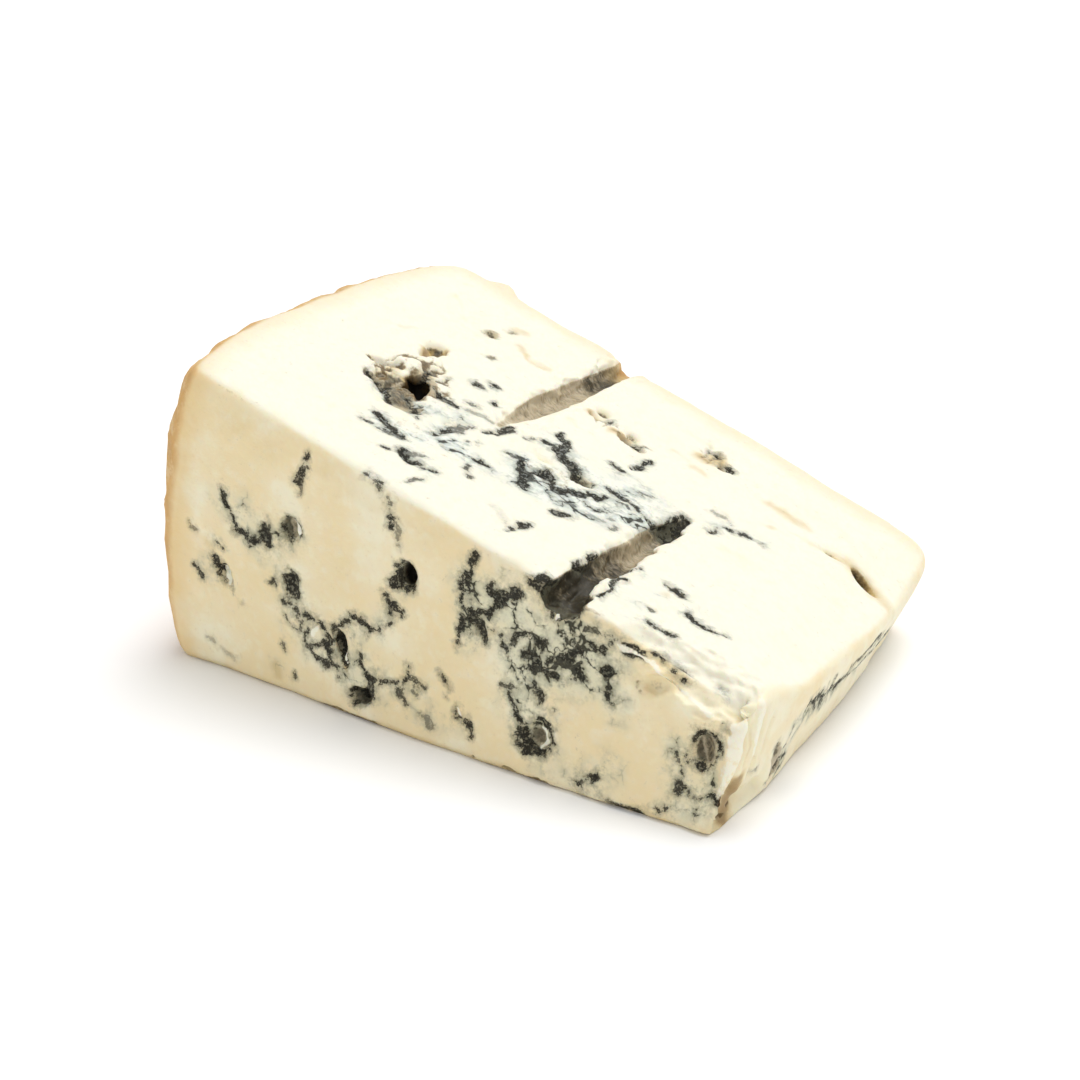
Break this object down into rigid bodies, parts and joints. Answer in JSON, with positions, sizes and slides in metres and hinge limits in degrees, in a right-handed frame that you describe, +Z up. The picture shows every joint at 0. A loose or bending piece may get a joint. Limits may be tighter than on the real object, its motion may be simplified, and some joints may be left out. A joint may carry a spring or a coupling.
{
  "type": "gorgonzola wedge",
  "caption": "Wedge of soft blue-veined cheese lying on a cut face, with a rind at its rim and back, needle channels and a blunt tip.",
  "frame": {"origin": "middle of the foot, on the surface that the wedge lies on", "axes": "+X from the rim with the rind to the blunt tip, +Y from the front cut to the flat rind face at the back, +Z up"},
  "size_m": [0.1166, 0.0832, 0.0558],
  "materials": {
    "cheese_paste": "moist pale cream paste with blue-grey marbling and a thin golden rind, softly glossy"
  },
  "bodies": {
    "root": {"gorgonzola_wedge": "cheese_paste"}
  },
  "joints": []
}
